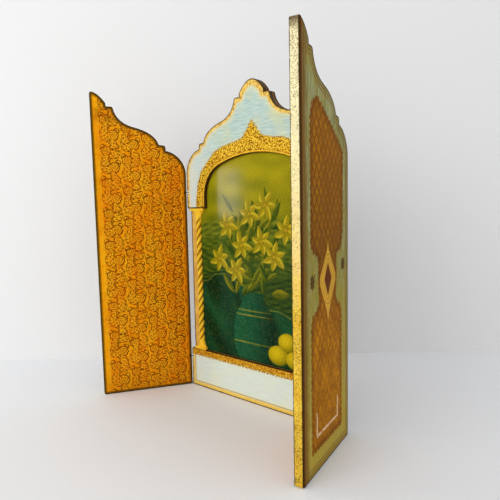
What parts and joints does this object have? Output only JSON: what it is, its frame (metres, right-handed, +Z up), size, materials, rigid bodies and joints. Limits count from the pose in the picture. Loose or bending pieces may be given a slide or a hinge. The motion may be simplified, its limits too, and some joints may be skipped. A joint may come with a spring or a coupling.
{
  "type": "triptych altarpiece",
  "caption": "Tabletop triptych: a gilt and painted centre panel with a framed print, a stepped pointed top, and hinged doors that fold over it.",
  "frame": {"origin": "middle of the base rail's underside", "axes": "+Z up, -Y the way the picture faces, +X to the right of someone facing it"},
  "size_m": [0.3482, 0.1296, 0.4],
  "materials": {
    "painted_front": "mint paint over gesso with a gilt border",
    "backing": "dark brown stained wood, gilt beside the columns",
    "print": "varnished paper print",
    "gold_leaf": "rubbed gold leaf over red bole",
    "door_gilt": "stamped amber gilding inside, painted and gilt outside",
    "hinge_wire": "tarnished wire"
  },
  "bodies": {
    "centre": {"back_board": "backing", "arch_frame": "painted_front", "base_rail": "painted_front", "picture_print": "print", "column_left": "gold_leaf", "column_right": "gold_leaf", "eye_left_upper_frame": "hinge_wire", "eye_left_lower_frame": "hinge_wire", "eye_right_upper_frame": "hinge_wire", "eye_right_lower_frame": "hinge_wire"},
    "left_door": {"door_left": "door_gilt", "eye_left_upper_door": "hinge_wire", "eye_left_lower_door": "hinge_wire"},
    "right_door": {"door_right": "door_gilt", "eye_right_upper_door": "hinge_wire", "eye_right_lower_door": "hinge_wire"}
  },
  "joints": [
    {"name": "left_hinge", "type": "hinge", "parent": "centre", "child": "left_door", "pos_m": [-0.12185, -0.00325, 0.156], "axis": [0, 0, 1], "range_deg": [-60.6, 119.4]},
    {"name": "right_hinge", "type": "hinge", "parent": "centre", "child": "right_door", "pos_m": [0.12185, -0.00325, 0.156], "axis": [0, 0, 1], "range_deg": [-103, 77]}
  ]
}
